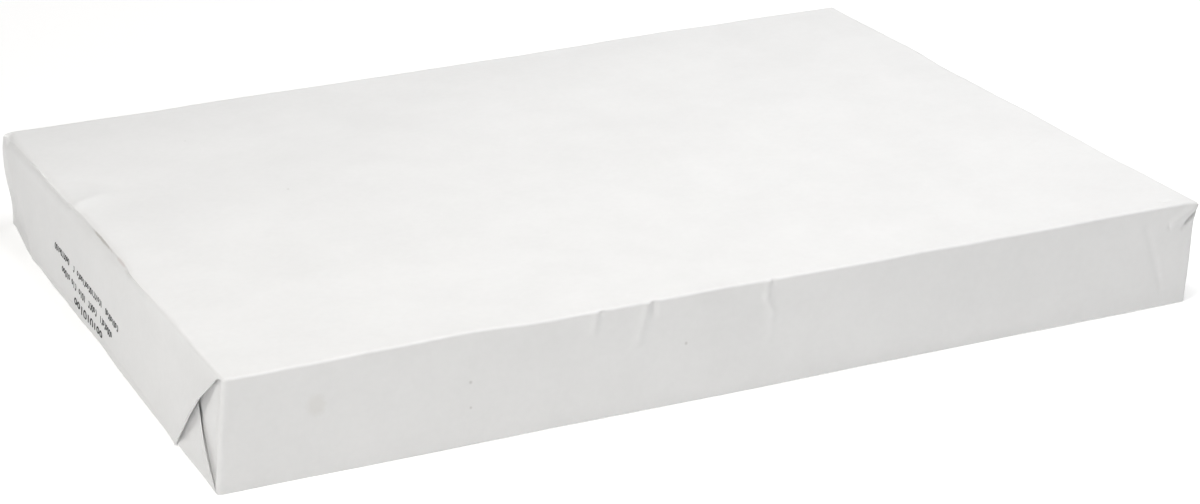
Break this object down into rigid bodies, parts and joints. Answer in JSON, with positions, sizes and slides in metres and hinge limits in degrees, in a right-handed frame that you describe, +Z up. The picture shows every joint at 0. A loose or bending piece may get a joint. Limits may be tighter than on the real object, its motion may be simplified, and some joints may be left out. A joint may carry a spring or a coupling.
{
  "type": "ream of paper",
  "caption": "Sealed flat pack of large paper sheets in a white wrapper, with envelope-folded ends, for storing, stacking and carrying paper stock.",
  "frame": {"origin": "middle of the underside, on the surface that the pack lies on", "axes": "+X along the long side of the sheets, +Y across them, +Z up through the stack"},
  "size_m": [0.596, 0.4204, 0.0606],
  "materials": {
    "wrapper": "satin coated kraft paper, white",
    "end_print": "matt black ink"
  },
  "bodies": {
    "root": {"wrapped_ream": "wrapper"}
  },
  "joints": []
}
